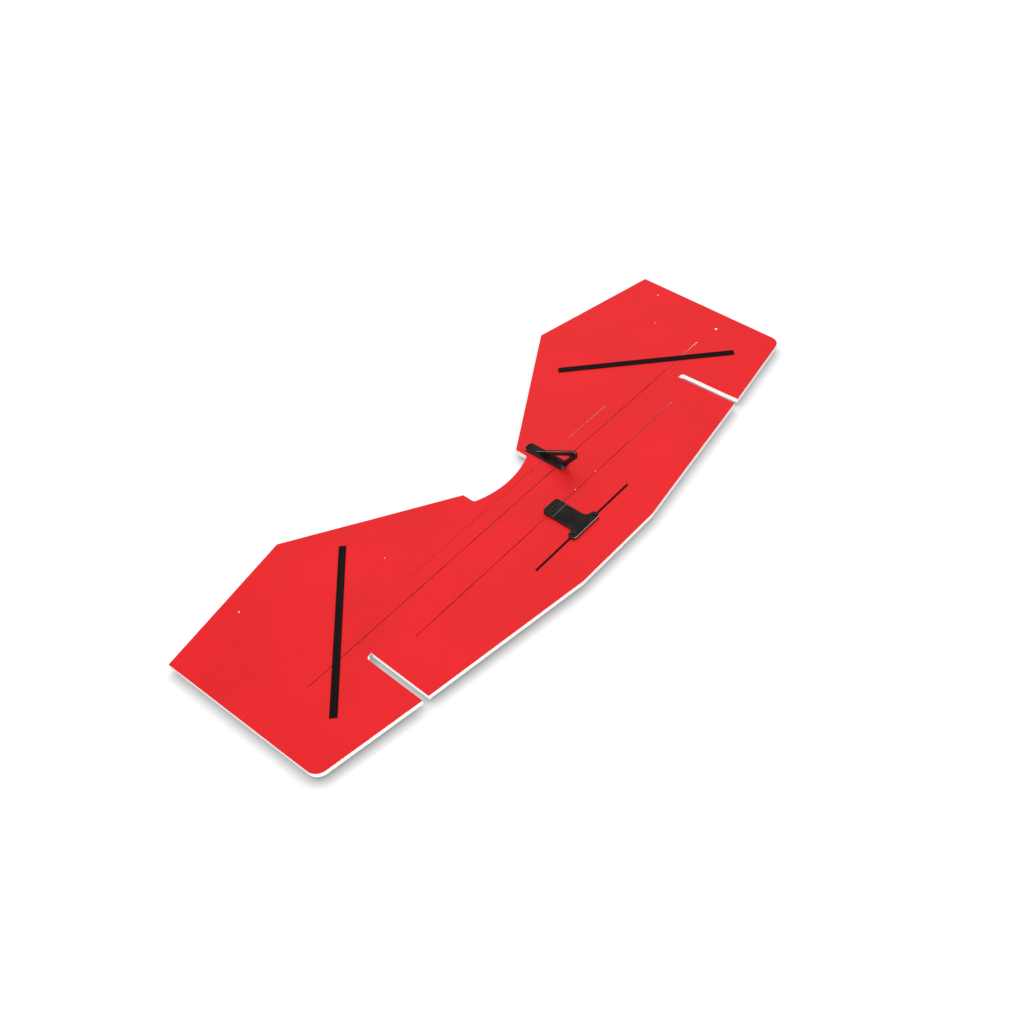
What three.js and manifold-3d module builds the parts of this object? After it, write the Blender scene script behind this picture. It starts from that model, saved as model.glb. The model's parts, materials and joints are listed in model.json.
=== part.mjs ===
// Horizontal tail of a small flat-foam aerobatic model aeroplane, in millimetres.
// A fixed stabiliser and a hinged elevator are cut from one thickness of foam sheet. The elevator's
// ends reach forward past the stabiliser as balance tips, with a slot between. Strips and a rod of
// carbon stiffen the foam, a plate on the stabiliser takes the fuselage, and a horn takes the pushrod.
//
// +X is along the span, +Y points aft and +Z up. Everything is laid out from the hinge line, at y 0 on
// the underside, and the whole tail is then moved so that the origin is the middle of the fuselage seat.

import * as THREE from "three";
import { mergeVertices } from "three/addons/utils/BufferGeometryUtils.js";
import Module from "manifold-3d";

const wasm = await Module();
wasm.setup();

// Foam sheet and clearances.
const sheet = 3; // thickness of both foam panels
const stockGap = 0.05; // round each strip, rod and skin in its cut

// Elevator outline, as distances from the middle of the hinge line.
const halfSpan = 198.1; // to the rear corner of a tip
const tipInset = 5.6; // the front corner of a tip is this much further in
const tipTrailing = 77.7; // hinge line to a tip's rear corner
const kneeHalf = 111.5; // to the rearmost corner of each half
const kneeTrailing = 95.9; // hinge line to that corner
const tipLeading = 30.3; // hinge line to a tip's front corner
const tipSlotLeading = 39.7; // hinge line to a tip's front edge, beside its slot
const tipRadius = 7; // rounding of a tip's front corner
const tipChordWidth = 65.6; // width of a balance tip, from its slot out

// Notch in the middle of the elevator, where the rudder swings.
const notchHalf = 22.3;
const notchMouth = 38.3; // hinge line to the notch's outer corners
const notchFloor = 25; // hinge line to the lowest point of its dished floor
const notchFloorRadius = 53;
const notchFillet = 2;

// Stabiliser outline.
const slotWidth = 3.6; // between the stabiliser and each balance tip
const noseHalf = 29.3; // half the straight middle of its front edge
const noseLeading = 54.4; // hinge line to that straight
const endLeading = 40.2; // hinge line to the front edge at each end

// Hinge: the top skin of the foam is left to bend, and the elevator is bevelled below it.
const skinThickness = 0.4;
const skinHalfWidth = 1.5;
const hingeGap = 0.5; // between the two panels under the skin
const bevelAngle = 50; // degrees, more than the elevator's travel down

// Carbon strips set on edge in slits cut right through the foam.
const sparThickness = 0.5;
const longSparFromHinge = 10.4;
const longSparTipGap = 35.8; // from its end to the tip's rear corner
const shortSparFromNotch = 5;
const shortSparHalf = 82;
const stabiliserSparLeading = 10.1; // hinge line to the stabiliser's strip
const stabiliserSparEndGap = 20.9; // from its end to the stabiliser's end

// Carbon rod let into the stabiliser's top, under the front of the mount plate.
const rodDiameter = 1.5;
const rodLeading = 30.3;
const rodHalf = 39;
const rodSides = 12;

// Flat carbon strips glued on top of the elevator, across each corner of the hinge and a tip.
const braceWidth = 4;
const braceThickness = 0.6;
const braceLength = 108.6;
const braceAngle = 45.7; // degrees from the span
const braceTipGap = 32; // from its outer end to the tip's rear corner
const braceLeading = 12.8; // outer end ahead of the hinge line
const rightBraceSlip = 1.3; // the right strip is glued this much further out along its own line

// Mount plate on top of the stabiliser.
const plateThickness = 1.6;
const padRise = 0.4; // its rear pad stands this much higher
const plateRearGap = 6.3; // hinge line to its rear end
const plateHalfWidth = 6;
const plateRearRadius = 1.8;
const padLength = 7.4;
const lobeHalfWidth = 11.1; // across the two front lobes
const lobeRear = 2.3; // from the lobe holes back to the lobes' rear edge
const lobeFront = 3; // and on to the front edge
const lobeRadius = 2;
const lobeFillet = 3.1; // where the lobes meet the plate's sides
const lobeHoleHalf = 8.65;
const lobeHoleRadius = 1;
const tabSlotLength = 4.2;
const tabSlotWidth = 1.2;
const tabSlotFromRear = 4;
const tabSlotRadius = 0.55; // its ends

// Control horn on top of the elevator, beside the notch.
const hornFromNotch = 6.1; // notch side to the middle of the horn
const hornBaseFront = 6; // hinge line to the front of its base
const hornBaseLength = 29;
const hornBaseWidth = 6.5;
const hornBaseThickness = 1.2;
const hornBaseRadius = 2.4; // rear corners
const hornBaseFrontRadius = 0.4;
const finThickness = 1.4;
const finHeelGap = 7; // from the rear of the base to the fin
const finHeight = 18.2; // above the foam
const finReach = 3.4; // ahead of the hinge line
const finNose = 5.4; // upright front edge
const finToe = 0.4; // from the front of the base to the fin's foot
const finNoseRadius = 1.2;
const upperStrut = 2.7;
const frontStrut = 2.8;
const sillHeight = 4.7; // foam to the bottom of the opening
const openingRadius = 0.6;
const linkHoleRadius = 0.65;
const linkHoleHeight = 13.2; // above the foam, straight over the hinge line
const gussetLength = 9.5;
const gussetFromToe = 1; // from the fin's foot back to the gusset
const gussetWidth = 1;
const gussetHeight = 3.4; // above the base

// Fuselage seat, under the middle of the mount plate.
const seatFromHinge = 20;

const slotOuter = halfSpan - tipChordWidth;
const stabiliserHalf = slotOuter - slotWidth;
const skinFloor = sheet - skinThickness;
const sparHeight = sheet - 2 * stockGap;
const hornX = notchHalf + hornFromNotch;
const overrun = 1; // how far a cutter stands clear of what it cuts
const holeSides = 20;
const tiny = 1e-4; // points closer than this are one

const degrees = Math.PI / 180;
const xAxis = new THREE.Vector3(1, 0, 0);
const yAxis = new THREE.Vector3(0, 1, 0);
const zAxis = new THREE.Vector3(0, 0, 1);

// Materials, one for each finish.
const foamRed = { color: 0xe8323a, roughness: 0.75, metalness: 0 };
const carbonBlack = { color: 0x1f1d1e, roughness: 0.45, metalness: 0 };
const plasticBlack = { color: 0x222222, roughness: 0.5, metalness: 0 };

function piece(name, geometry, finish) {
  const mesh = new THREE.Mesh(geometry, new THREE.MeshStandardMaterial(finish));
  mesh.name = name;
  return mesh;
}

// Booleans.
function solidOf(geometry) {
  const bare = new THREE.BufferGeometry();
  const source = geometry.index ? geometry.toNonIndexed() : geometry;
  bare.setAttribute("position", source.getAttribute("position"));
  const merged = mergeVertices(bare, tiny);
  return new wasm.Manifold(
    new wasm.Mesh({
      numProp: 3,
      vertProperties: new Float32Array(merged.attributes.position.array),
      triVerts: new Uint32Array(merged.index.array),
    }),
  );
}

function geometryOf(solid) {
  const mesh = solid.getMesh();
  const geometry = new THREE.BufferGeometry();
  geometry.setAttribute("position", new THREE.BufferAttribute(mesh.vertProperties, 3));
  geometry.setIndex(new THREE.BufferAttribute(mesh.triVerts, 1));
  geometry.computeVertexNormals();
  return geometry;
}

// Points of an arc, from one angle to another in degrees.
function arc(centreX, centreY, radius, from, to, steps = 8) {
  const points = [];
  for (let i = 0; i <= steps; i += 1) {
    const angle = (from + ((to - from) * i) / steps) * degrees;
    points.push(new THREE.Vector2(centreX + radius * Math.cos(angle), centreY + radius * Math.sin(angle)));
  }
  return points;
}

// Rounds every corner of a closed outline that has a radius. Each corner is [x, y, radius].
function rounded(corners, steps = 8) {
  const points = [];
  corners.forEach(([x, y, radius = 0], i) => {
    const corner = new THREE.Vector2(x, y);
    if (radius === 0) {
      points.push(corner);
      return;
    }
    const before = corners[(i + corners.length - 1) % corners.length];
    const after = corners[(i + 1) % corners.length];
    const toBefore = new THREE.Vector2(before[0] - x, before[1] - y).normalize();
    const toAfter = new THREE.Vector2(after[0] - x, after[1] - y).normalize();
    const half = Math.acos(toBefore.dot(toAfter)) / 2;
    const middle = toBefore.clone().add(toAfter).normalize();
    const centre = corner.clone().addScaledVector(middle, radius / Math.sin(half));
    const start = corner.clone().addScaledVector(toBefore, radius / Math.tan(half)).sub(centre);
    const end = corner.clone().addScaledVector(toAfter, radius / Math.tan(half)).sub(centre);
    const turn = Math.atan2(start.cross(end), start.dot(end));
    for (let step = 0; step <= steps; step += 1) {
      points.push(start.clone().rotateAround(new THREE.Vector2(), (turn * step) / steps).add(centre));
    }
  });
  return points;
}

// Where two lines cross. Each is a point and a direction.
function crossing(point, direction, otherPoint, otherDirection) {
  const across = otherPoint.clone().sub(point);
  const along = across.cross(otherDirection) / direction.cross(otherDirection);
  return point.clone().addScaledVector(direction, along);
}

function rectangle(x0, x1, y0, y1) {
  return [
    [x0, y0],
    [x1, y0],
    [x1, y1],
    [x0, y1],
  ].map(([x, y]) => new THREE.Vector2(x, y));
}

// Extrudes an outline upwards from a height, with through holes.
function slab(outline, bottom, thickness, holes = []) {
  const shape = new THREE.Shape(outline);
  shape.holes = holes.map((hole) => new THREE.Path(hole));
  const geometry = new THREE.ExtrudeGeometry(shape, { depth: thickness, bevelEnabled: false });
  return geometry.translate(0, 0, bottom);
}

// Extrudes an outline drawn in y and z along the span, from x0 to x1.
function prismAlongSpan(outline, x0, x1, holes = []) {
  const turn = new THREE.Matrix4().makeBasis(yAxis, zAxis, xAxis);
  return slab(outline, x0, x1 - x0, holes).applyMatrix4(turn);
}

// Extrudes an outline drawn in z and x along the chord, from y0 to y1.
function prismAlongChord(outline, y0, y1) {
  const turn = new THREE.Matrix4().makeBasis(zAxis, xAxis, yAxis);
  return slab(outline, y0, y1 - y0).applyMatrix4(turn);
}

// Adds the other half of an outline that starts and ends on the middle line.
function mirrored(rightHalf) {
  const leftHalf = rightHalf.filter((point) => point.x > tiny).reverse();
  return rightHalf.concat(leftHalf.map((point) => new THREE.Vector2(-point.x, point.y)));
}

// A slit for a strip on edge, given the strip's half length and its distance from the hinge line.
function slit(half, y) {
  const halfWidth = sparThickness / 2 + stockGap;
  return rectangle(-half - stockGap, half + stockGap, y - halfWidth, y + halfWidth);
}

// The shallow step that the hinge skin lies in, cut in the top of both panels.
function skinRebate(half) {
  const halfWidth = skinHalfWidth + stockGap;
  const section = rectangle(-halfWidth, halfWidth, skinFloor - stockGap, sheet + overrun);
  return solidOf(prismAlongSpan(section, -half, half));
}

const longSparHalf = halfSpan - longSparTipGap;
const shortSparY = notchFloor - shortSparFromNotch;
const stabiliserSparHalf = stabiliserHalf - stabiliserSparEndGap;

function elevatorOutline() {
  const edge = hingeGap / 2;
  const slotRadius = slotWidth / 2;
  const slotMiddle = slotOuter - slotRadius;
  const floorCentre = notchFloor + notchFloorRadius;
  const filletX = notchHalf - notchFillet;
  const filletReach = notchFloorRadius - notchFillet;
  const filletY = floorCentre - Math.sqrt(filletReach ** 2 - filletX ** 2);
  const filletAngle = Math.atan2(filletY - floorCentre, filletX) / degrees;
  const frontCorners = rounded([
    [slotOuter, -tipSlotLeading],
    [halfSpan - tipInset, -tipLeading, tipRadius],
    [halfSpan, tipTrailing],
  ]);
  return mirrored([
    new THREE.Vector2(0, edge),
    ...arc(slotMiddle, edge - slotRadius, slotRadius, 90, 0),
    ...frontCorners,
    new THREE.Vector2(kneeHalf, kneeTrailing),
    new THREE.Vector2(notchHalf, notchMouth),
    ...arc(filletX, filletY, notchFillet, 0, filletAngle, 6),
    ...arc(0, floorCentre, notchFloorRadius, filletAngle, -90, 10).slice(1),
  ]);
}

// Cuts the elevator's front edge back below the skin, so that it can swing down.
function bevelCutter() {
  const edge = hingeGap / 2;
  const top = skinFloor - stockGap;
  const slope = Math.tan(bevelAngle * degrees);
  const section = [
    [edge - overrun, top],
    [edge - overrun, -overrun],
    [edge + (top + overrun) * slope, -overrun],
    [edge, top],
  ].map(([y, z]) => new THREE.Vector2(y, z));
  const half = slotOuter - slotWidth / 2;
  return solidOf(prismAlongSpan(section, -half, half));
}

function elevatorFoam() {
  const slits = [slit(longSparHalf, longSparFromHinge), slit(shortSparHalf, shortSparY)];
  const panel = solidOf(slab(elevatorOutline(), 0, sheet, slits));
  const cut = panel.subtract(skinRebate(stabiliserHalf)).subtract(bevelCutter());
  return piece("elevator_foam", geometryOf(cut), foamRed);
}

function stabiliserFoam() {
  const outline = mirrored([
    new THREE.Vector2(0, -noseLeading),
    new THREE.Vector2(noseHalf, -noseLeading),
    new THREE.Vector2(stabiliserHalf, -endLeading),
    new THREE.Vector2(stabiliserHalf, -hingeGap / 2),
    new THREE.Vector2(0, -hingeGap / 2),
  ]);
  const panel = solidOf(slab(outline, 0, sheet, [slit(stabiliserSparHalf, -stabiliserSparLeading)]));
  const halfWidth = rodDiameter / 2 + stockGap;
  const halfLength = rodHalf + stockGap;
  const groove = rectangle(-halfLength, halfLength, -rodLeading - halfWidth, -rodLeading + halfWidth);
  const grooveFloor = sheet - rodDiameter - 2 * stockGap;
  const cutter = solidOf(slab(groove, grooveFloor, rodDiameter + overrun));
  const cut = panel.subtract(skinRebate(stabiliserHalf + overrun)).subtract(cutter);
  return piece("stabiliser_foam", geometryOf(cut), foamRed);
}

function hingeSkin() {
  const section = rectangle(-skinHalfWidth, skinHalfWidth, skinFloor, sheet);
  const half = stabiliserHalf - stockGap;
  return piece("hinge_skin", prismAlongSpan(section, -half, half), foamRed);
}

function spar(name, half, y) {
  const mesh = piece(name, new THREE.BoxGeometry(2 * half, sparThickness, sparHeight), carbonBlack);
  mesh.position.set(0, y, sheet / 2);
  return mesh;
}

function frontRod() {
  const radius = rodDiameter / 2;
  const section = arc(-rodLeading, sheet - stockGap - radius, radius, 0, 360, rodSides).slice(1);
  return piece("front_rod", prismAlongSpan(section, -rodHalf, rodHalf), carbonBlack);
}

function braceStrip(name, side, slip) {
  const angle = braceAngle * degrees;
  const mesh = piece(name, new THREE.BoxGeometry(braceLength, braceWidth, braceThickness), carbonBlack);
  const inward = braceLength / 2 - slip; // from the left strip's outer end to this one's middle
  const middleX = halfSpan - braceTipGap - inward * Math.cos(angle);
  const middleY = -braceLeading + inward * Math.sin(angle);
  mesh.position.set(side * middleX, middleY, sheet + braceThickness / 2);
  mesh.rotation.z = -side * angle;
  return mesh;
}

function mountPlate() {
  const rearY = -plateRearGap;
  const lobeRearY = -rodLeading + lobeRear;
  const frontY = -rodLeading - lobeFront;
  const outline = rounded([
    [lobeHalfWidth, frontY, lobeRadius],
    [lobeHalfWidth, lobeRearY, lobeRadius],
    [plateHalfWidth, lobeRearY, lobeFillet],
    [plateHalfWidth, rearY, plateRearRadius],
    [-plateHalfWidth, rearY, plateRearRadius],
    [-plateHalfWidth, lobeRearY, lobeFillet],
    [-lobeHalfWidth, lobeRearY, lobeRadius],
    [-lobeHalfWidth, frontY, lobeRadius],
  ]);
  const padOutline = rounded([
    [plateHalfWidth, rearY - padLength],
    [plateHalfWidth, rearY, plateRearRadius],
    [-plateHalfWidth, rearY, plateRearRadius],
    [-plateHalfWidth, rearY - padLength],
  ]);
  const slotY = rearY - tabSlotFromRear;
  const slotEnd = tabSlotLength / 2;
  const slotSide = tabSlotWidth / 2;
  const tabSlot = rounded([
    [slotEnd, slotY - slotSide, tabSlotRadius],
    [slotEnd, slotY + slotSide, tabSlotRadius],
    [-slotEnd, slotY + slotSide, tabSlotRadius],
    [-slotEnd, slotY - slotSide, tabSlotRadius],
  ]);
  const cuts = [tabSlot];
  for (const side of [-1, 1]) {
    cuts.push(arc(side * lobeHoleHalf, -rodLeading, lobeHoleRadius, 0, 360, holeSides).slice(1));
  }
  let plate = solidOf(slab(outline, sheet, plateThickness));
  plate = plate.add(solidOf(slab(padOutline, sheet, plateThickness + padRise)));
  for (const cut of cuts) {
    plate = plate.subtract(solidOf(slab(cut, sheet - overrun, plateThickness + padRise + 2 * overrun)));
  }
  return piece("mount_plate", geometryOf(plate), plasticBlack);
}

// The fin in y and z: heel, apex, nose and toe, with an opening that leaves three struts.
function finSection() {
  const foot = sheet + hornBaseThickness / 2;
  const heel = new THREE.Vector2(hornBaseFront + hornBaseLength - finHeelGap, foot);
  const apex = new THREE.Vector2(-finReach, sheet + finHeight);
  const nose = new THREE.Vector2(-finReach, sheet + finHeight - finNose);
  const toe = new THREE.Vector2(hornBaseFront + finToe, foot);
  const outline = rounded([
    [heel.x, heel.y],
    [apex.x, apex.y, finNoseRadius],
    [nose.x, nose.y, finNoseRadius],
    [toe.x, toe.y],
  ]);
  const upperRun = apex.clone().sub(heel).normalize();
  const frontRun = toe.clone().sub(nose).normalize();
  const upperLine = heel.clone().addScaledVector(new THREE.Vector2(-upperRun.y, upperRun.x), upperStrut);
  const frontLine = nose.clone().addScaledVector(new THREE.Vector2(-frontRun.y, frontRun.x), frontStrut);
  const sill = new THREE.Vector2(0, sheet + sillHeight);
  const level = new THREE.Vector2(1, 0);
  const opening = [
    crossing(sill, level, upperLine, upperRun),
    crossing(upperLine, upperRun, frontLine, frontRun),
    crossing(frontLine, frontRun, sill, level),
  ];
  const window = rounded(opening.map((corner) => [corner.x, corner.y, openingRadius]), 5);
  const linkHole = arc(0, sheet + linkHoleHeight, linkHoleRadius, 0, 360, holeSides).slice(1);
  return { outline, holes: [window, linkHole] };
}

function controlHorn() {
  const rearY = hornBaseFront + hornBaseLength;
  const halfWidth = hornBaseWidth / 2;
  const baseOutline = rounded([
    [-halfWidth, hornBaseFront, hornBaseFrontRadius],
    [halfWidth, hornBaseFront, hornBaseFrontRadius],
    [halfWidth, rearY, hornBaseRadius],
    [-halfWidth, rearY, hornBaseRadius],
  ]);
  const fin = finSection();
  const baseTop = sheet + hornBaseThickness;
  const gussetFoot = baseTop - hornBaseThickness / 2;
  const gusset = [
    [gussetFoot, -finThickness / 2 - gussetWidth],
    [baseTop, -finThickness / 2 - gussetWidth],
    [baseTop + gussetHeight, -finThickness / 2],
    [baseTop + gussetHeight, finThickness / 2],
    [baseTop, finThickness / 2 + gussetWidth],
    [gussetFoot, finThickness / 2 + gussetWidth],
  ].map(([z, x]) => new THREE.Vector2(z, x));
  const gussetFront = hornBaseFront + finToe + gussetFromToe;
  let horn = solidOf(slab(baseOutline, sheet, hornBaseThickness));
  horn = horn.add(solidOf(prismAlongSpan(fin.outline, -finThickness / 2, finThickness / 2, fin.holes)));
  horn = horn.add(solidOf(prismAlongChord(gusset, gussetFront, gussetFront + gussetLength)));
  const mesh = piece("control_horn", geometryOf(horn), plasticBlack);
  mesh.position.x = hornX;
  return mesh;
}

const tail = new THREE.Group();
tail.position.y = seatFromHinge;
tail.add(
  stabiliserFoam(),
  elevatorFoam(),
  hingeSkin(),
  spar("elevator_long_spar", longSparHalf, longSparFromHinge),
  spar("elevator_short_spar", shortSparHalf, shortSparY),
  spar("stabiliser_spar", stabiliserSparHalf, -stabiliserSparLeading),
  frontRod(),
  mountPlate(),
  controlHorn(),
  braceStrip("left_brace_strip", -1, 0),
  braceStrip("right_brace_strip", 1, rightBraceSlip),
);

export default new THREE.Group().add(tail);
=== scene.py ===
import json
import math

import bmesh
import bpy
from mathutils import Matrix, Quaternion, Vector, noise

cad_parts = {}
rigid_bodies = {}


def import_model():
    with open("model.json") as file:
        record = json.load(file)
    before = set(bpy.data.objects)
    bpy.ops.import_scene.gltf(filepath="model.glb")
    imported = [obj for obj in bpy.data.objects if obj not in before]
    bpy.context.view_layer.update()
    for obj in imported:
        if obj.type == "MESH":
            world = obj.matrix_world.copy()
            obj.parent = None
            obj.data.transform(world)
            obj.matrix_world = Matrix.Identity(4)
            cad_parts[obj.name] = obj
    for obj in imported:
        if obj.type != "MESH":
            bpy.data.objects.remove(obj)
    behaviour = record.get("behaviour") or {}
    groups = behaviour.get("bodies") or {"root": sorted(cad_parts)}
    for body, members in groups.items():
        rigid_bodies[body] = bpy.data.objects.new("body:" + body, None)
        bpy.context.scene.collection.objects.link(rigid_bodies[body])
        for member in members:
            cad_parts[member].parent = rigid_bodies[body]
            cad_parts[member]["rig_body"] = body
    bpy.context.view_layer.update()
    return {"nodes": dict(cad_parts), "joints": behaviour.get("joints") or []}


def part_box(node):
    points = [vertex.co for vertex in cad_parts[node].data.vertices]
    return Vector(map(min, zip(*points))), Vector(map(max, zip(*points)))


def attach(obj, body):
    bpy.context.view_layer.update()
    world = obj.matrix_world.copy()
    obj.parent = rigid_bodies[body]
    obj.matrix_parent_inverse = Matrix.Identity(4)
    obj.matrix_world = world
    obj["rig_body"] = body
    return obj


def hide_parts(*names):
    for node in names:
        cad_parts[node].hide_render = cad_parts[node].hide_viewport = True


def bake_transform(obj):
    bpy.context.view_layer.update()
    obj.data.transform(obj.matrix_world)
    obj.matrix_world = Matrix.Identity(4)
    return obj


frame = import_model()

mm = 0.001
scene = bpy.context.scene
boxes = {node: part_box(node) for node in frame["nodes"]}
sheet = boxes["stabiliser_foam"][1].z  # thickness of the foam
hingeY = frame["joints"][0]["pos_m"][1]
stockGap = 0.05 * mm  # round each strip, rod and skin in its cut
cutReach = 3 * stockGap  # this near to a cut counts as being on it
weld = mm / 1000  # corners nearer than this are one
flatAngle = math.radians(0.5)  # faces that meet at less are one flat face
flatFacing = 0.999  # how squarely a flat face looks along its axis


# Short ways to make nodes and objects.

def addNode(tree, kind, links=None, **settings):
    node = tree.nodes.new(kind)
    for name, value in settings.items():
        setattr(node, name, value)
    for socket, value in (links or {}).items():
        if isinstance(value, bpy.types.NodeSocket):
            tree.links.new(value, node.inputs[socket])
        else:
            node.inputs[socket].default_value = value
    return node


def maths(tree, operation, first, second=0.0, third=0.0):
    node = addNode(tree, "ShaderNodeMath", {0: first, 1: second, 2: third}, operation=operation)
    return node.outputs[0]


def scaled(tree, value, low, high):
    return addNode(tree, "ShaderNodeMapRange", {"Value": value, "To Min": low, "To Max": high}).outputs[0]


def ramped(tree, value, low, high):
    links = {"Value": value, "From Min": low, "From Max": high}
    return addNode(tree, "ShaderNodeMapRange", links, interpolation_type="SMOOTHSTEP").outputs[0]


def noiseAt(tree, vector, size, detail=3.0):
    links = {"Vector": vector, "Scale": maths(tree, "DIVIDE", 1.0, size), "Detail": detail}
    return addNode(tree, "ShaderNodeTexNoise", links).outputs[0]


# How open a place is, from 0 where it is shut in to 1 where nothing is near.
def opennessAt(tree, links, samples):
    return addNode(tree, "ShaderNodeAmbientOcclusion", links, samples=samples).outputs["AO"]


# Camera, floor and lights.

camera = {
    "aim": Vector((-15.47, 27.55, 3)) * mm,
    "azimuth": -42.26,  # degrees, as the next two
    "elevation": 46.98,
    "roll": -8.07,
    "distance": 588.7 * mm,
    "lens": 37.68,  # in mm, as the sensor
    "sensor": 36,
}

studio = {
    "floorSize": 8,  # metres
    "floorDrop": 2.4 * mm,  # the tail stands a little clear of the floor
    "shadeReach": 7.6 * mm,  # how far from the tail the floor is shaded
    "shadeDepth": 1.25,  # over 1, so that the shade is full before the floor is wholly shut in
    "shadeEnd": 0.95,  # clearer than this shows no shade
    "shadeSamples": 16,
    "shadeColour": (0.02, 0.022, 0.026, 1),
    "shadeFrom": (0.54, 0.61, 0.58),  # towards the light at the back
    "skySeen": 1.05,  # by the camera
    "skyLight": 0.32,
    "skyBelow": 0.74,  # what a pale floor throws back up
    "skyGloss": 0.08,  # what glossy finishes reflect
}

# Where each lamp stands and how wide it is, in metres, its power in watts, and what it does. Soft ones cast
# shadows, gloss ones only show in glossy finishes, and a fill lightens without casting a shadow.
lamps = {
    "overhead": {"place": (0.1, 0.2, 1.6), "width": 1.6, "power": 8.5, "kind": "soft"},
    "back": {"place": (0.62, 0.7, 1.05), "width": 1.5, "power": 12, "kind": "soft"},
    "sheen": {"place": (0.75, 0.85, 0.8), "width": 0.7, "power": 0.45, "kind": "gloss"},
    "front": {"place": (-0.95, -1.05, 0.66), "width": 0.8, "power": 16, "kind": "fill"},
    "edge": {"place": (0.55, -0.67, 0.83), "width": 0.3, "power": 2.4, "kind": "gloss"},
}


def linkObject(name, data):
    made = bpy.data.objects.new(name, data)
    scene.collection.objects.link(made)
    return made


def lookAlong(holder, back, roll=0):
    level = (-back).to_track_quat("-Z", "Y")
    holder.rotation_mode = "QUATERNION"
    holder.rotation_quaternion = level @ Quaternion((0, 0, 1), roll)


def placeCamera():
    data = bpy.data.cameras.new("camera")
    data.lens = camera["lens"]
    data.sensor_width = camera["sensor"]
    data.clip_start = mm
    holder = linkObject("camera", data)
    azimuth = math.radians(camera["azimuth"])
    elevation = math.radians(camera["elevation"])
    across = math.cos(elevation)
    back = Vector((math.sin(azimuth) * across, -math.cos(azimuth) * across, math.sin(elevation)))
    lookAlong(holder, back, math.radians(camera["roll"]))
    holder.location = camera["aim"] + back * camera["distance"]
    scene.camera = holder


def addLamp(name, lamp):
    data = bpy.data.lights.new(name, "AREA")
    data.shape = "DISK"
    data.size = lamp["width"]
    data.energy = lamp["power"]
    data.use_shadow = lamp["kind"] == "soft"
    holder = linkObject(name, data)
    holder.location = lamp["place"]
    lookAlong(holder, Vector(lamp["place"]))
    holder.visible_glossy = lamp["kind"] == "gloss"
    holder.visible_diffuse = lamp["kind"] != "gloss"


def buildSky():
    world = bpy.data.worlds.new("studio")
    scene.world = world
    world.cycles.sampling_method = "NONE"  # so that each kind of ray sees its own sky
    world.use_nodes = True
    tree = world.node_tree
    tree.nodes.clear()
    path = addNode(tree, "ShaderNodeLightPath").outputs
    shells = {}
    for name in ("skyLight", "skyBelow", "skySeen", "skyGloss"):
        links = {"Color": (1, 1, 1, 1), "Strength": studio[name]}
        shells[name] = addNode(tree, "ShaderNodeBackground", links).outputs[0]
    upward = addNode(tree, "ShaderNodeTexCoord").outputs["Generated"]
    height = addNode(tree, "ShaderNodeSeparateXYZ", {0: upward}).outputs[2]
    isBelow = maths(tree, "LESS_THAN", height, 0.0)
    sky = shells["skyLight"]
    rays = {"skyBelow": isBelow, "skyGloss": path["Is Glossy Ray"], "skySeen": path["Is Camera Ray"]}
    for name, chosen in rays.items():
        sky = addNode(tree, "ShaderNodeMixShader", {0: chosen, 1: sky, 2: shells[name]}).outputs[0]
    addNode(tree, "ShaderNodeOutputWorld", {"Surface": sky})


# A white floor that shows only by the painted shade on it, dark where the tail is near, so that it never
# hides an elevator that is swung down.
def buildFloor():
    mesh = bpy.data.meshes.new("floor")
    half = studio["floorSize"] / 2
    drop = -studio["floorDrop"]
    corners = [(-half, -half, drop), (half, -half, drop), (half, half, drop), (-half, half, drop)]
    mesh.from_pydata(corners, [], [(0, 1, 2, 3)])
    floor = linkObject("floor", mesh)
    pale = bpy.data.materials.new("paleFloor")
    pale.use_nodes = True
    tree = pale.node_tree
    tree.nodes.clear()
    towards = addNode(tree, "ShaderNodeCombineXYZ", dict(enumerate(studio["shadeFrom"]))).outputs[0]
    links = {"Distance": studio["shadeReach"], "Normal": towards}
    clear = opennessAt(tree, links, studio["shadeSamples"])
    links = {"Value": clear, "From Max": studio["shadeEnd"], "To Min": studio["shadeDepth"], "To Max": 0.0}
    shade = addNode(tree, "ShaderNodeMapRange", links).outputs[0]
    isAbove = maths(tree, "SUBTRACT", 1.0, addNode(tree, "ShaderNodeNewGeometry").outputs["Backfacing"])
    shade = maths(tree, "MULTIPLY", shade, isAbove)
    pane = addNode(tree, "ShaderNodeBsdfTransparent").outputs[0]
    dark = addNode(tree, "ShaderNodeEmission", {"Color": studio["shadeColour"]}).outputs[0]
    both = addNode(tree, "ShaderNodeMixShader", {0: shade, 1: pane, 2: dark}).outputs[0]
    addNode(tree, "ShaderNodeOutputMaterial", {"Surface": both})
    mesh.materials.append(pale)
    for ray in ("shadow", "diffuse", "glossy", "transmission"):
        setattr(floor, "visible_" + ray, False)


placeCamera()
buildSky()
buildFloor()
for lampName, lampLook in lamps.items():
    addLamp(lampName, lampLook)
scene.view_settings.view_transform = "Standard"
print("studio: camera, floor and", len(lamps), "lamps")


# Shader groups that several finishes share.

def newGroup(name, inputs, outputs):
    group = bpy.data.node_groups.new(name, "ShaderNodeTree")
    for socket, value in inputs.items():
        kind = "NodeSocketVector" if value is None else "NodeSocketFloat"
        made = group.interface.new_socket(socket, in_out="INPUT", socket_type=kind)
        if value is not None:
            made.default_value = value
    for socket in outputs:
        group.interface.new_socket(socket, in_out="OUTPUT", socket_type="NodeSocketFloat")
    return group, group.nodes.new("NodeGroupInput").outputs, group.nodes.new("NodeGroupOutput")


fineShare = 0.35  # of the finer cloud in the mottle
chipRagged = 0.5  # least reach of a chip, as a share of its radius
chipSoftness = -0.3  # how far inward its rim fades, as a share of its radius


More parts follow.
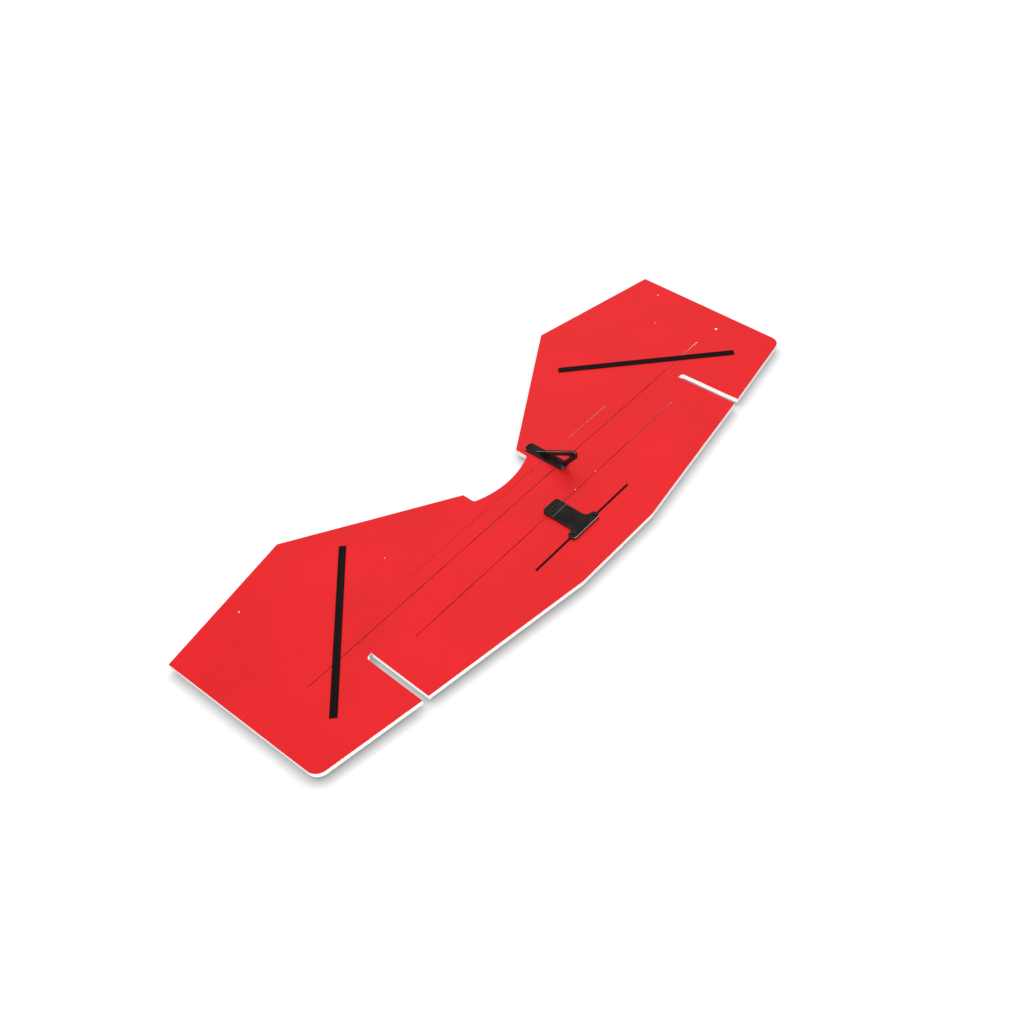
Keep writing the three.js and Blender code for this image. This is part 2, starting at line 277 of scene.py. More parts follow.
# Broad soft patches with a finer cloud in them, from 0 to 1.
def makeMottle():
    group, given, end = newGroup("mottle", {"Vector": None, "Patch": 0.03, "Fine": 0.003}, ["Value"])
    broad = noiseAt(group, given["Vector"], given["Patch"])
    fine = noiseAt(group, given["Vector"], given["Fine"])
    both = maths(group, "MULTIPLY_ADD", maths(group, "SUBTRACT", fine, 0.5), fineShare, broad)
    group.links.new(both, end.inputs["Value"])
    return group


# Closed foam cells: a swollen height for each, a shade of its own, and the walls between.
def makeCells():
    inputs = {"Vector": None, "Cell": 0.0008, "Wall": 0.12}
    group, given, end = newGroup("foamCells", inputs, ["Height", "Shade", "Walls"])
    rate = maths(group, "DIVIDE", 1.0, given["Cell"])
    near = addNode(group, "ShaderNodeTexVoronoi", {"Vector": given["Vector"], "Scale": rate})
    links = {"Vector": given["Vector"], "Scale": rate}
    edges = addNode(group, "ShaderNodeTexVoronoi", links, feature="DISTANCE_TO_EDGE")
    walls = ramped(group, edges.outputs["Distance"], given["Wall"], 0.0)
    height = maths(group, "SUBTRACT", 1.0, near.outputs["Distance"])
    shade = addNode(group, "ShaderNodeSeparateColor", {0: near.outputs["Color"]}).outputs[0]
    for name, value in {"Height": height, "Shade": shade, "Walls": walls}.items():
        group.links.new(value, end.inputs[name])
    return group


# Fine strands that run along X.
def makeStrands():
    inputs = {"Vector": None, "Length": 0.06, "Width": 0.0003}
    group, given, end = newGroup("strands", inputs, ["Value"])
    parts = addNode(group, "ShaderNodeSeparateXYZ", {0: given["Vector"]}).outputs
    along = maths(group, "DIVIDE", parts[0], given["Length"])
    across = maths(group, "DIVIDE", parts[1], given["Width"])
    up = maths(group, "DIVIDE", parts[2], given["Width"])
    vector = addNode(group, "ShaderNodeCombineXYZ", {0: along, 1: across, 2: up}).outputs[0]
    group.links.new(noiseAt(group, vector, 1.0, detail=4.0), end.inputs["Value"])
    return group


# Sparse specks of dust, as a mask.
def makeDust():
    inputs = {"Vector": None, "Spacing": 0.0025, "Size": 0.09, "Share": 0.35}
    group, given, end = newGroup("dust", inputs, ["Mask"])
    rate = maths(group, "DIVIDE", 1.0, given["Spacing"])
    spots = addNode(group, "ShaderNodeTexVoronoi", {"Vector": given["Vector"], "Scale": rate})
    chance = addNode(group, "ShaderNodeSeparateColor", {0: spots.outputs["Color"]}).outputs[0]
    kept = maths(group, "LESS_THAN", chance, given["Share"])
    spot = ramped(group, spots.outputs["Distance"], given["Size"], 0.0)
    group.links.new(maths(group, "MULTIPLY", kept, spot), end.inputs["Mask"])
    return group


# A ragged chip round one point, as a mask.
def makeChip():
    group, given, end = newGroup("chip", {"Vector": None, "Centre": None, "Radius": 0.0005}, ["Mask"])
    links = {0: given["Vector"], 1: given["Centre"]}
    apart = addNode(group, "ShaderNodeVectorMath", links, operation="DISTANCE")
    ragged = noiseAt(group, given["Vector"], given["Radius"])
    reach = maths(group, "MULTIPLY", given["Radius"], maths(group, "ADD", ragged, chipRagged))
    outside = maths(group, "SUBTRACT", apart.outputs["Value"], reach)
    softness = maths(group, "MULTIPLY", given["Radius"], chipSoftness)
    group.links.new(ramped(group, outside, 0.0, softness), end.inputs["Mask"])
    return group


mottle = makeMottle()
foamCells = makeCells()
strands = makeStrands()
dust = makeDust()
chip = makeChip()
print("shader groups: mottle, foamCells, strands, dust, chip")


# Finishes.

def useGroup(tree, group, links):
    return addNode(tree, "ShaderNodeGroup", links, node_tree=group).outputs


# A material with its shader, and the place on the piece that its patterns read.
def newFinish(name, specular):
    material = bpy.data.materials.new(name)
    material.use_nodes = True
    tree = material.node_tree
    shader = tree.nodes["Principled BSDF"]
    shader.inputs["Specular IOR Level"].default_value = specular
    place = addNode(tree, "ShaderNodeTexCoord").outputs["Object"]
    return material, tree, shader, place


def mixed(tree, factor, first, second):
    return addNode(tree, "ShaderNodeMix", {0: factor, 6: first, 7: second}, data_type="RGBA").outputs[2]


def addBump(tree, shader, height, depth, strength):
    bump = addNode(tree, "ShaderNodeBump", {"Height": height, "Distance": depth, "Strength": strength})
    tree.links.new(bump.outputs[0], shader.inputs["Normal"])


def dusted(tree, place, colour, look):
    specks = useGroup(tree, dust, {"Vector": place, **look["dustLinks"]})["Mask"]
    return mixed(tree, maths(tree, "MULTIPLY", specks, look["dustAmount"]), colour, look["dust"])


printLook = {
    "light": (0.74, 0.0102, 0.0145, 1),
    "deep": (0.67, 0.0078, 0.0115, 1),
    "bare": (0.92, 0.88, 0.86, 1),  # foam where the print is chipped
    "tones": (0.25, 0.75),  # of the mottle, from deep to light
    "roughness": (0.52, 0.68),
    "specular": 0.3,
    "shade": (0.05, 0.0005, 0.001, 1),  # painted shade, where the print is shut in
    "shadeReach": 2 * mm,
    "shadeOpen": 0.6,  # openness at which that shade ends
    "shadeSamples": 8,
    "patch": 45 * mm,
    "fine": 2.2 * mm,
    "cell": 1.1 * mm,
    "wallWidth": 0.15,
    "depth": 0.03 * mm,
    "strength": 0.5,
    # Chips in the print: how far along the span, aft of the hinge line, and radius, all in mm.
    "chips": [
        (180.1, 8.4, 0.9),
        (188.4, 59.8, 0.45),
        (163.3, 43.6, 0.35),
        (-154.4, 75.3, 0.5),
        (18.5, -9.7, 0.35),
        (36.2, -9.7, 0.3),
        (-81.8, 40.3, 0.35),
    ],
}


def makePrint():
    look = printLook
    material, tree, shader, place = newFinish("redPrint", look["specular"])
    cloud = useGroup(tree, mottle, {"Vector": place, "Patch": look["patch"], "Fine": look["fine"]})["Value"]
    colour = mixed(tree, ramped(tree, cloud, *look["tones"]), look["deep"], look["light"])
    chips = None
    for x, y, radius in look["chips"]:
        centre = (x * mm, hingeY + y * mm, sheet)
        mask = useGroup(tree, chip, {"Vector": place, "Centre": centre, "Radius": radius * mm})["Mask"]
        chips = mask if chips is None else maths(tree, "MAXIMUM", chips, mask)
    colour = mixed(tree, chips, colour, look["bare"])
    # Painted shade: the print's colour darkens where other parts or walls are near, as in the holes, the
    # groove and beside the fittings.
    clear = opennessAt(tree, {"Distance": look["shadeReach"]}, look["shadeSamples"])
    clear = addNode(tree, "ShaderNodeMapRange", {"Value": clear, "From Max": look["shadeOpen"]}).outputs[0]
    colour = mixed(tree, clear, look["shade"], colour)
    tree.links.new(colour, shader.inputs["Base Color"])
    tree.links.new(scaled(tree, cloud, *look["roughness"]), shader.inputs["Roughness"])
    cells = useGroup(tree, foamCells, {"Vector": place, "Cell": look["cell"], "Wall": look["wallWidth"]})
    height = maths(tree, "SUBTRACT", cells["Height"], chips)
    addBump(tree, shader, height, look["depth"], look["strength"])
    return material


foamLook = {
    "white": (0.93, 0.91, 0.89, 1),
    "shaded": (0.84, 0.81, 0.79, 1),
    "wall": (0.97, 0.96, 0.95, 1),
    "cell": 0.7 * mm,
    "wallWidth": 0.2,
    "depth": 0.12 * mm,
    "strength": 0.6,
    "patch": 12 * mm,
    "roughness": (0.7, 0.9),
    "specular": 0.25,
}


def makeFoam():
    look = foamLook
    material, tree, shader, place = newFinish("whiteFoam", look["specular"])
    cells = useGroup(tree, foamCells, {"Vector": place, "Cell": look["cell"], "Wall": look["wallWidth"]})
    cloud = useGroup(tree, mottle, {"Vector": place, "Patch": look["patch"], "Fine": look["cell"]})["Value"]
    shade = maths(tree, "MULTIPLY", cells["Shade"], cloud)
    colour = mixed(tree, shade, look["white"], look["shaded"])
    colour = mixed(tree, cells["Walls"], colour, look["wall"])
    tree.links.new(colour, shader.inputs["Base Color"])
    tree.links.new(scaled(tree, cloud, *look["roughness"]), shader.inputs["Roughness"])
    addBump(tree, shader, cells["Height"], look["depth"], look["strength"])
    return material


carbonLook = {
    "dark": (0.004, 0.0035, 0.0035, 1),
    "strand": (0.014, 0.0085, 0.008, 1),
    "tones": (0.35, 0.7),  # of the strands, from dark to pale
    "roughness": (0.5, 0.66),
    "specular": 0.16,
    "length": 70 * mm,
    "width": 0.35 * mm,
    "depth": 0.02 * mm,
    "strength": 0.5,
    "dust": (0.25, 0.24, 0.23, 1),
    "dustAmount": 0.3,
    "dustLinks": {"Spacing": 3 * mm, "Size": 0.05, "Share": 0.3},
}


# Carbon whose strands lie at an angle from the span, in degrees.
def makeCarbon(name, angle):
    look = carbonLook
    material, tree, shader, place = newFinish(name, look["specular"])
    turned = addNode(tree, "ShaderNodeMapping", {"Vector": place, "Rotation": (0, 0, -math.radians(angle))})
    links = {"Vector": turned.outputs[0], "Length": look["length"], "Width": look["width"]}
    strand = useGroup(tree, strands, links)["Value"]
    colour = mixed(tree, ramped(tree, strand, *look["tones"]), look["dark"], look["strand"])
    colour = dusted(tree, place, colour, look)
    tree.links.new(colour, shader.inputs["Base Color"])
    tree.links.new(scaled(tree, strand, *look["roughness"]), shader.inputs["Roughness"])
    addBump(tree, shader, strand, look["depth"], look["strength"])
    return material


nylonLook = {
    "black": (0.0075, 0.0068, 0.0064, 1),
    "worn": (0.0165, 0.0148, 0.014, 1),
    # pale of worn edges, also used for the painted highlights along the front and upper edges
    "rubAndGlint": (0.72, 0.7, 0.68, 1),
    "tones": (0.3, 0.8),  # of the mottle, from black to worn
    "rubAndGlintSpread": (0.1, 0.6),  # of the mottle, from bare to fully pale, for wear and the painted highlights alike
    "roughness": (0.33, 0.5),
    "specular": 0.35,
    "patch": 6 * mm,
    "fine": 0.8 * mm,
    "grain": 0.22 * mm,
    "depth": 0.012 * mm,
    "strength": 0.6,
    "dust": (0.3, 0.29, 0.28, 1),
    "dustAmount": 0.25,
    "dustLinks": {"Spacing": 2 * mm, "Size": 0.07, "Share": 0.3},
}


def makeNylon():
    look = nylonLook
    material, tree, shader, place = newFinish("blackNylon", look["specular"])
    cloud = useGroup(tree, mottle, {"Vector": place, "Patch": look["patch"], "Fine": look["fine"]})["Value"]
    colour = mixed(tree, ramped(tree, cloud, *look["tones"]), look["black"], look["worn"])
    colour = dusted(tree, place, colour, look)
    # Rounded edges painted pale: a little wear everywhere, and painted highlights along the front and upper
    # edges.
    wearAndGlint = addNode(tree, "ShaderNodeAttribute", attribute_name="wearAndGlint").outputs["Fac"]
    rubAndGlint = maths(tree, "MULTIPLY", wearAndGlint, ramped(tree, cloud, *look["rubAndGlintSpread"]))
    colour = mixed(tree, rubAndGlint, colour, look["rubAndGlint"])
    tree.links.new(colour, shader.inputs["Base Color"])
    tree.links.new(scaled(tree, cloud, *look["roughness"]), shader.inputs["Roughness"])
    grain = noiseAt(tree, place, look["grain"], detail=2.0)
    addBump(tree, shader, grain, look["depth"], look["strength"])
    return material


braceAngle = 45.7  # degrees from the span
redPrint = makePrint()
whiteFoam = makeFoam()
spanCarbon = makeCarbon("spanCarbon", 0)
leftCarbon = makeCarbon("leftCarbon", braceAngle)
rightCarbon = makeCarbon("rightCarbon", -braceAngle)
blackNylon = makeNylon()
print("finishes:", ", ".join(material.name for material in bpy.data.materials))


# Puts a finished mesh in the scene, in place of its CAD node.
def addPiece(name, mesh, nodeName):
    made = linkObject(name, mesh)
    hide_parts(nodeName)
    return made


def bodyOf(nodeName):
    return frame["nodes"][nodeName]["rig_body"]


# A CAD node's mesh with its doubled corners merged and its flat faces whole.
def cleanCopy(nodeName):
    mesh = bmesh.new()
    mesh.from_mesh(frame["nodes"][nodeName].data)
    bmesh.ops.remove_doubles(mesh, verts=mesh.verts, dist=weld)
    bmesh.ops.dissolve_limit(mesh, angle_limit=flatAngle, verts=mesh.verts, edges=mesh.edges)
    mesh.normal_update()
    return mesh


# Shades across the edges that are blunter than an angle in degrees, and keeps the others crisp.
def keepCrisp(mesh, angle):
    for edge in mesh.edges:
        edge.smooth = edge.calc_face_angle(0) < math.radians(angle)


def meshFrom(source, name, materials):
    mesh = bpy.data.meshes.new(name)
    source.to_mesh(mesh)
    source.free()
    for material in materials:
        mesh.materials.append(material)
    return mesh


# Foam panels.

panel = {
    "printEdge": 0.14 * mm,  # rounding along the printed face
    "bareEdge": 0.16 * mm,  # and along the underside
    "roundSteps": 2,
    "cutStep": 2.5 * mm,  # length of the pieces that a cut edge is split into
    "wander": 0.05 * mm,  # how far the knife strays
    "wanderSize": 14 * mm,
    "printDepth": 0.2 * mm,  # the print covers faces above this depth
    "hingeReach": 2 * mm,  # edges this near to the hinge line belong to the hinge
    "wall": 0.2,  # an upright wall looks up or down by less than this
    "face": 0.9,  # and a flat face by more than this
    "printFacing": 0.8,  # print lies on what looks up by more than this
    "crisp": 40,  # degrees, above which an edge stays crisp
}

# Each strip stands on edge in a slit. It is pressed deeper toward its right end, by its dip there and by
# less before it, as a power of the way along. The slit closes over it, to the gap that its lips leave.
spars = {
    "long_spar": {"node": "elevator_long_spar", "dip": 0.4 * mm, "power": 22, "lips": 0.34 * mm},
    "short_spar": {"node": "elevator_short_spar", "dip": 0.31 * mm, "power": 1.6, "lips": 0.12 * mm},
    "stabiliser_strip": {"node": "stabiliser_spar", "dip": 0.2 * mm, "power": 8, "lips": 0.34 * mm},
}
slit = {
    "lipDepth": 0.04 * mm,
    "step": 3 * mm,  # length of the pieces that a lip is split into
    "vary": 0.6,  # how much the lips' width varies, as a share of it
    "varySize": 22 * mm,
    "gape": 0.5,  # how far the lips open for each millimetre that the strip dips
}
cutNodes = [spar["node"] for spar in spars.values()] + ["front_rod"]


def dipAt(spar, x):
    low, high = boxes[spar["node"]]
    along = min(max((x - low.x) / (high.x - low.x), 0), 1)
    return spar["dip"] * along ** spar["power"]


# Tells whether a point lies over a box or within reach of its sides.
def isWithin(point, low, high, reach):
    return all(low[i] - reach < point[i] < high[i] + reach for i in (0, 1))


# The box of the strip or rod whose cut a point lies on, if any.
def cutBox(point):
    for node in cutNodes:
        low, high = boxes[node]
        if isWithin(point, low, high, cutReach):
            return low, high
    return None


# The foam springs back until it grips what lies in each cut.
def closeCuts(mesh):
    for corner in mesh.verts:
        found = cutBox(corner.co)
        if found:
            low, high = found
            corner.co.x = min(max(corner.co.x, low.x), high.x)
            corner.co.y = min(max(corner.co.y, low.y), high.y)


def isInSlit(face, low, high):
    return all(isWithin(corner.co, low, high, stockGap) for corner in face.verts)


# How far apart the lips of a strip's slit are.
def lipsAt(spar, x):
    low = boxes[spar["node"]][0]
    drift = noise.noise(Vector((x / slit["varySize"], low.y, 0)))
    return spar["lips"] * (1 + slit["vary"] * drift) + slit["gape"] * dipAt(spar, x)


# Leaves a narrow lip along each slit, over the strip in it.
def closeLips(mesh):
    for spar in spars.values():
        low, high = boxes[spar["node"]]
        walls = [face for face in mesh.faces if isInSlit(face, low, high)]
        if not walls:
            continue
        parts = dict.fromkeys(walls)
        for face in walls:
            parts.update(dict.fromkeys([*face.edges, *face.verts]))
        level = (0, 0, sheet - slit["lipDepth"])
        bmesh.ops.bisect_plane(mesh, geom=list(parts), dist=weld, plane_co=level, plane_no=(0, 0, 1))
        splitLips(mesh, low, high)
        middle = (low.y + high.y) / 2
        for corner in mesh.verts:
            isTop = corner.co.z > sheet - slit["lipDepth"] / 2
            if isTop and isWithin(corner.co, low, high, stockGap):
                side = 1 if corner.co.y > middle else -1
                corner.co.y = middle + side * lipsAt(spar, corner.co.x) / 2
        mesh.normal_update()


# Splits the two long lips of a slit into short lengths, so that their width can vary.
def splitLips(mesh, low, high):
    lips = []
    for face in mesh.faces:
        isLip = face.calc_center_median().z > sheet - slit["lipDepth"]
        if isLip and abs(face.normal.z) < panel["wall"] and isInSlit(face, low, high):
            longEdges = [e for e in face.edges if abs(e.verts[0].co.x - e.verts[1].co.x) > slit["step"]]
            if len(longEdges) == 2:
                lips.append(longEdges)
    for first, second in lips:
        splitWall(first, second, int(first.calc_length() / slit["step"]))


# Tells the outer edges of a panel's two faces from its slits, its groove and the hinge.
def isOutline(edge):
    if len(edge.link_faces) != 2:
        return False
    steep = sorted(abs(face.normal.z) for face in edge.link_faces)
    if steep[0] > panel["wall"] or steep[1] < panel["face"]:
        return False
    middle = (edge.verts[0].co + edge.verts[1].co) / 2
    if min(abs(middle.z), abs(middle.z - sheet)) > stockGap or cutBox(middle):
        return False
    along = edge.verts[0].co - edge.verts[1].co
    onHinge = abs(middle.y - hingeY) < panel["hingeReach"] and abs(along.y) < weld
    return not onHinge


# Splits an edge into equal parts, and returns the new corners in order from its start.
def splitEdge(edge, start, count):
    corners = []
    for left in range(count, 0, -1):
        far = edge.other_vert(start)
        made, corner = bmesh.utils.edge_split(edge, start, 1 / (left + 1))
        edge = edge if far in edge.verts else made
        start = corner
        corners.append(corner)
    return corners


# Splits the wall between two edges into equal upright strips.
def splitWall(first, second, count):
    start = first.verts[0]
    facing = min(second.verts, key=lambda corner: (corner.co.xy - start.co.xy).length)
    for one, other in zip(splitEdge(first, start, count), splitEdge(second, facing, count)):
        shared = next(face for face in one.link_faces if other in face.verts)
        bmesh.utils.face_split(shared, one, other)


# Splits each wall of the outline into short strips.
def splitWalls(mesh):
    walls = {}
    for edge in filter(isOutline, mesh.edges):
        wall = min(edge.link_faces, key=lambda face: abs(face.normal.z))
        walls.setdefault(wall, []).append(edge)
    for wall, edges in list(walls.items()):
        count = int(edges[0].calc_length() / panel["cutStep"])
        if len(edges) == 2 and count > 0:
            splitWall(*edges, count)
    mesh.normal_update()


# Lets the outline stray a little, as a knife does, but not where it meets the hinge.
def wanderCuts(mesh):
    moved = {}
    for edge in filter(isOutline, mesh.edges):
        wall = min(edge.link_faces, key=lambda face: abs(face.normal.z))
        for corner in edge.verts:
            moved.setdefault(corner, []).append(wall.normal.copy())
    for corner, normals in moved.items():
        if abs(corner.co.y - hingeY) < 2 * panel["hingeReach"]:
            continue
        outward = sum(normals, Vector()).normalized()
        stray = noise.noise(corner.co / panel["wanderSize"]) * panel["wander"]
        corner.co += Vector((outward.x, outward.y, 0)) * stray
    mesh.normal_update()


def roundOutline(mesh):
    for top, offset in ((True, panel["printEdge"]), (False, panel["bareEdge"])):
        edges = [edge for edge in mesh.edges if isOutline(edge) and (edge.verts[0].co.z > sheet / 2) == top]
        steps = panel["roundSteps"]
        bmesh.ops.bevel(mesh, geom=edges, offset=offset, segments=steps, profile=0.5, affect="EDGES")
        mesh.normal_update()


# The rod presses the print down into its groove.
def inGroove(point):
    low, high = boxes["front_rod"]
    return point.z > low.z - cutReach and isWithin(point, low, high, cutReach)


def makePanel(name, nodeName):
    mesh = cleanCopy(nodeName)
    closeCuts(mesh)
    closeLips(mesh)
    splitWalls(mesh)
    wanderCuts(mesh)
    roundOutline(mesh)
    for face in mesh.faces:
        middle = face.calc_center_median()
        isTop = middle.z > sheet - panel["printDepth"] and face.normal.z > panel["printFacing"]
        face.material_index = 0 if isTop or inGroove(middle) else 1
        face.smooth = abs(face.normal.z) < flatFacing
    keepCrisp(mesh, panel["crisp"])
    made = addPiece(name, meshFrom(mesh, name, [redPrint, whiteFoam]), nodeName)
    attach(made, bodyOf(nodeName))
    print(name, len(made.data.polygons), "faces")


makePanel("stabiliser_panel", "stabiliser_foam")
makePanel("elevator_panel", "elevator_foam")


# The printed skin along the hinge.

skin = {
    "steps": 16,  # across its width
    "crease": 0.03 * mm,  # depth of the pressed line along its middle
    "creaseWidth": 0.45 * mm,
}


def makeSkin():
    low, high = boxes["hinge_skin"]
    half = boxes["stabiliser_foam"][1].x
    reach = high.y - hingeY + stockGap
    mesh = bmesh.new()
    rows = []
    for i in range(skin["steps"] + 1):
        offset = reach * (2 * i / skin["steps"] - 1)
        dip = skin["crease"] * math.exp(-((offset / skin["creaseWidth"]) ** 2))
        y = hingeY + offset
        section = [(-half, y, high.z - dip), (half, y, high.z - dip), (half, y, low.z), (-half, y, low.z)]
        rows.append([mesh.verts.new(point) for point in section])
    for near, far in zip(rows, rows[1:]):
        for i in range(4):
            j = (i + 1) % 4
            mesh.faces.new([near[i], near[j], far[j], far[i]])
    mesh.faces.new(rows[0])
    mesh.faces.new(reversed(rows[-1]))
    bmesh.ops.recalc_face_normals(mesh, faces=mesh.faces)
    for face in mesh.faces:
        face.material_index = 0 if face.normal.z > panel["printFacing"] else 1
        face.smooth = abs(face.normal.z) > panel["printFacing"]
    keepCrisp(mesh, panel["crisp"])
    made = addPiece("hinge_film", meshFrom(mesh, "hinge_film", [redPrint, whiteFoam]), "hinge_skin")
    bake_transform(made)
    print("hinge_film", len(made.data.polygons), "faces")


makeSkin()


# Carbon stock: one rounded section drawn along a straight line.

def makeStockTree():
    tree = bpy.data.node_groups.new("carbonStock", "GeometryNodeTree")
    tree.is_modifier = True
    sockets = {
        "Start": "NodeSocketVector",
        "End": "NodeSocketVector",
        "Width": "NodeSocketFloat",
        "Height": "NodeSocketFloat",
        "Corner": "NodeSocketFloat",
        "Corner Steps": "NodeSocketInt",
        "Points": "NodeSocketInt",
        "Dip": "NodeSocketFloat",
        "Power": "NodeSocketFloat",
        "Finish": "NodeSocketMaterial",
    }
    for name, kind in sockets.items():
        tree.interface.new_socket(name, in_out="INPUT", socket_type=kind)
    tree.interface.new_socket("Geometry", in_out="OUTPUT", socket_type="NodeSocketGeometry")
    given = tree.nodes.new("NodeGroupInput").outputs
    ends = {"Start": given["Start"], "End": given["End"]}
    line = addNode(tree, "GeometryNodeCurvePrimitiveLine", ends).outputs[0]
    line = addNode(tree, "GeometryNodeResampleCurve", {"Curve": line, "Count": given["Points"]}).outputs[0]
    along = addNode(tree, "GeometryNodeSplineParameter").outputs["Factor"]
    share = maths(tree, "POWER", along, given["Power"])
    drop = maths(tree, "MULTIPLY", maths(tree, "MULTIPLY", share, given["Dip"]), -1.0)
    shift = addNode(tree, "ShaderNodeCombineXYZ", {"Z": drop}).outputs[0]
    line = addNode(tree, "GeometryNodeSetPosition", {"Geometry": line, "Offset": shift}).outputs[0]
    line = addNode(tree, "GeometryNodeSetCurveNormal", {"Curve": line}, mode="Z_UP").outputs[0]
    size = {"Width": given["Width"], "Height": given["Height"]}
    section = addNode(tree, "GeometryNodeCurvePrimitiveQuadrilateral", size).outputs[0]
    corner = {"Curve": section, "Radius": given["Corner"], "Count": given["Corner Steps"]}
    section = addNode(tree, "GeometryNodeFilletCurve", corner, mode="POLY").outputs[0]
    path = {"Curve": line, "Profile Curve": section, "Fill Caps": True}
    swept = addNode(tree, "GeometryNodeCurveToMesh", path)
    real = addNode(tree, "GeometryNodeRealizeInstances", {"Geometry": swept.outputs[0]})
    dressed = {"Geometry": real.outputs[0], "Material": given["Finish"]}
    painted = addNode(tree, "GeometryNodeSetMaterial", dressed)
    addNode(tree, "NodeGroupOutput", {"Geometry": painted.outputs[0]})
    return tree


def drawStock(name, settings):
    blank = linkObject(name + "_path", bpy.data.meshes.new(name))
    modifier = blank.modifiers.new("stock", "NODES")
    modifier.node_group = stockTree
    for item in stockTree.interface.items_tree:
        if item.in_out == "INPUT":
            modifier[item.identifier] = settings[item.name]
    blank.update_tag()
    graph = bpy.context.evaluated_depsgraph_get()
    plain = bpy.data.meshes.new_from_object(blank.evaluated_get(graph), depsgraph=graph)
    bpy.data.objects.remove(blank)
    mesh = bmesh.new()
    mesh.from_mesh(plain)
    bmesh.ops.remove_doubles(mesh, verts=mesh.verts, dist=weld)
    bmesh.ops.recalc_face_normals(mesh, faces=mesh.faces)
    for face in mesh.faces:
        face.smooth = True
    keepCrisp(mesh, stock["crisp"])
    return meshFrom(mesh, name, [settings["Finish"]])


stockTree = makeStockTree()

stock = {
    "sparCorner": 0.06 * mm,
    "braceCorner": 0.12 * mm,
    "braceWidth": 4 * mm,
    "steps": 3,
    "rodSteps": 8,
    "points": 60,  # along a strip that dips
    "crisp": 35,  # degrees, above which an edge stays crisp
}


# Draws one strip or rod, straight unless its sizes give it a dip.
def addStock(name, nodeName, finish, sizes):
    settings = {"Points": 2, "Dip": 0.0, "Power": 1.0, "Finish": finish, **sizes}
    made = addPiece(name, drawStock(name, settings), nodeName)
    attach(made, bodyOf(nodeName))
    print(name, len(made.data.polygons), "faces", [round(v / mm, 2) for v in made.dimensions])


def makeSpars():
    for name, spar in spars.items():
        low, high = boxes[spar["node"]]
        middle = (low + high) / 2
        height = high.z - low.z - spar["dip"]
        sizes = {
            "Start": (low.x, middle.y, high.z - height / 2),
            "End": (high.x, middle.y, high.z - height / 2),
            "Width": high.y - low.y,
            "Height": height,
            "Corner": stock["sparCorner"],
            "Corner Steps": stock["steps"],
            "Points": stock["points"],
            "Dip": spar["dip"],
            "Power": spar["power"],
        }
        addStock(name, spar["node"], spanCarbon, sizes)


def makeRod():
    low, high = boxes["front_rod"]
    middle = (low + high) / 2
    across = high.z - low.z
    sizes = {
        "Start": (low.x, middle.y, middle.z),
        "End": (high.x, middle.y, middle.z),
        "Width": across,
        "Height": across,
        "Corner": across / 2,
        "Corner Steps": stock["rodSteps"],
    }
    addStock("rod", "front_rod", spanCarbon, sizes)


def makeBraces():
    angle = math.radians(braceAngle)
    inset = Vector((math.sin(angle), math.cos(angle), 0)) * stock["braceWidth"] / 2
    for side, finish in ((-1, leftCarbon), (1, rightCarbon)):
        name = "left_brace" if side < 0 else "right_brace"
        low, high = boxes[name + "_strip"]
        middle = (low.z + high.z) / 2
        outer = max(abs(low.x), abs(high.x)) - inset.x
        inner = min(abs(low.x), abs(high.x)) + inset.x
        sizes = {
            "Start": (side * outer, low.y + inset.y, middle),
            "End": (side * inner, high.y - inset.y, middle),
            "Width": stock["braceWidth"],
            "Height": high.z - low.z,
            "Corner": stock["braceCorner"],
            "Corner Steps": stock["steps"],
        }
        addStock(name, name + "_strip", finish, sizes)


makeSpars()
makeRod()
makeBraces()


# Moulded fittings, with their edges rounded as the mould leaves them.

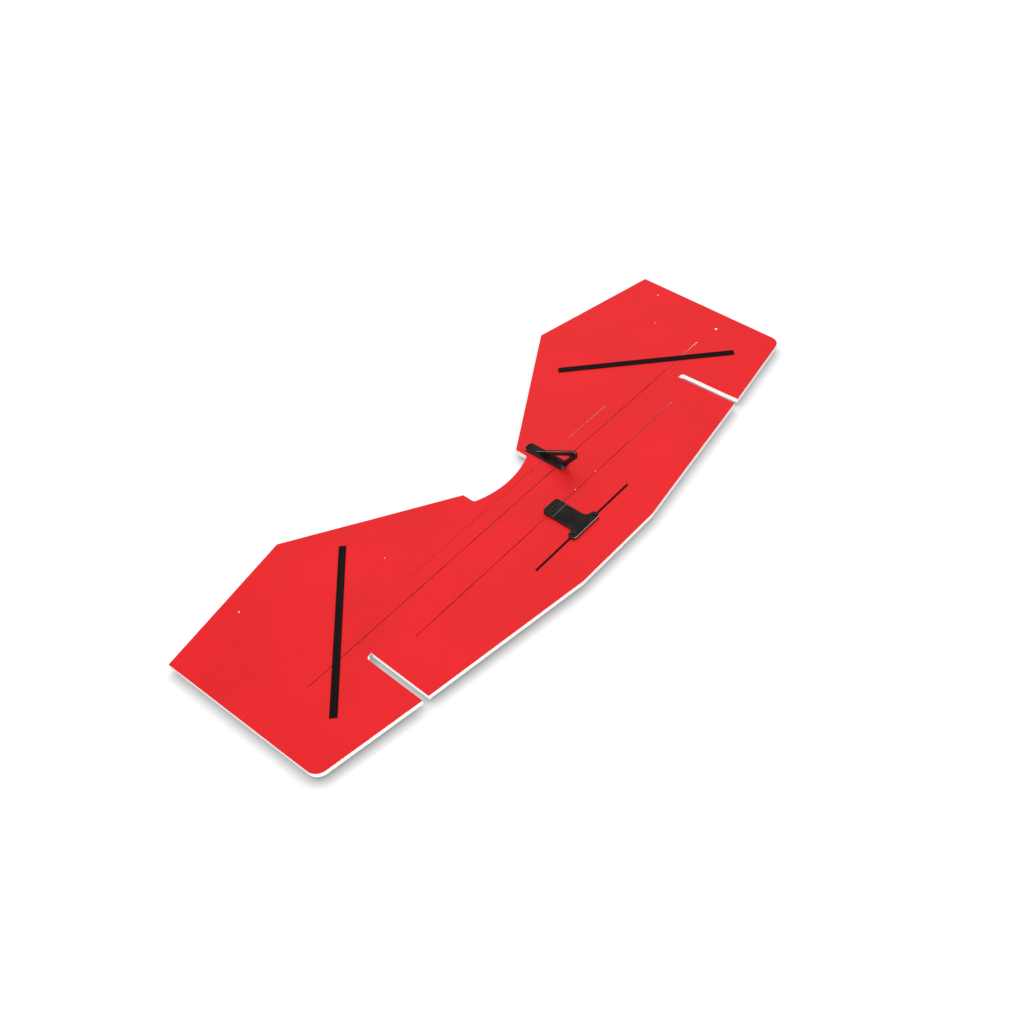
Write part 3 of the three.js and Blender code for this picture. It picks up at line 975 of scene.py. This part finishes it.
fittings = {
    "plate_moulding": {"node": "mount_plate", "edge": 0.24 * mm},
    "horn_moulding": {"node": "control_horn", "edge": 0.15 * mm},
}
moulding = {
    "steps": 3,
    "sharp": 32,  # degrees, above which an edge is rounded
    "worn": 0.05,  # how far each edge is worn, from 0 to 1
    "paintedFrontGlint": 1.0,  # painted highlight along the front edges of the plate and of the horn's base
    "paintedPadGlint": 0.14,  # painted highlight along the front edge of the plate's pad
    "paintedFinGlint": 0.75,  # painted highlight along the horn's upper edges
    "frontReach": 0.6 * mm,
    "padLength": 7.4 * mm,
    "baseReach": 1.4 * mm,  # above the foam
    "finSlope": 0.53,  # fall of the upper edge of the fin, toward the rear
    "finReach": 1.6 * mm,
    "leans": 0.3,  # an edge that looks forward by more than this is a front edge
    "lifts": 0.2,  # and it looks up by more than this
}


# How pale a rounded edge is painted, by where it is and the way it faces: a little wear on every edge, and
# painted highlights on the front edges and the horn's upper edges.
def wearAndGlintOf(face, nodeName):
    low, high = boxes[nodeName]
    towards = face.normal
    place = face.center
    forward = towards.y < -moulding["leans"] and towards.z > moulding["lifts"]
    if nodeName == "mount_plate" and forward:
        if place.y < low.y + moulding["frontReach"]:
            return moulding["paintedFrontGlint"]
        if abs(place.y - high.y + moulding["padLength"]) < moulding["frontReach"]:
            return moulding["paintedPadGlint"]
    if nodeName == "control_horn":
        if forward and place.z < low.z + moulding["baseReach"]:
            return moulding["paintedFrontGlint"]
        finTop = high.z - moulding["finSlope"] * (place.y - low.y)
        above = max(finTop, low.z + moulding["baseReach"]) - moulding["finReach"]
        if towards.z > moulding["leans"] and place.z > above:
            return moulding["paintedFinGlint"]
    return moulding["worn"]


def makeFittings():
    for name, fitting in fittings.items():
        sharp = cleanCopy(fitting["node"])
        for face in sharp.faces:
            face.smooth = True
        mesh = meshFrom(sharp, name, [blackNylon, blackNylon])
        made = addPiece(name, mesh, fitting["node"])
        bevel = made.modifiers.new("mouldedEdge", "BEVEL")
        bevel.width = fitting["edge"]
        bevel.segments = moulding["steps"]
        bevel.limit_method = "ANGLE"
        bevel.angle_limit = math.radians(moulding["sharp"])
        bevel.use_clamp_overlap = False
        bevel.material = 1  # marks the rounded edges
        graph = bpy.context.evaluated_depsgraph_get()
        rounded = bpy.data.meshes.new_from_object(made.evaluated_get(graph), depsgraph=graph)
        made.modifiers.remove(bevel)
        # Paints each rounded edge pale: a little wear, or a painted highlight on the front and upper edges.
        wearAndGlint = rounded.attributes.new("wearAndGlint", "FLOAT", "FACE")
        for face in rounded.polygons:
            isEdge = face.material_index == 1
            wearAndGlint.data[face.index].value = wearAndGlintOf(face, fitting["node"]) if isEdge else 0
            face.use_smooth = isEdge or max(abs(v) for v in face.normal) < flatFacing
            face.material_index = 0
        rounded.materials.pop()
        made.data = rounded
        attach(made, bodyOf(fitting["node"]))
        print(name, len(made.data.polygons), "faces")


makeFittings()
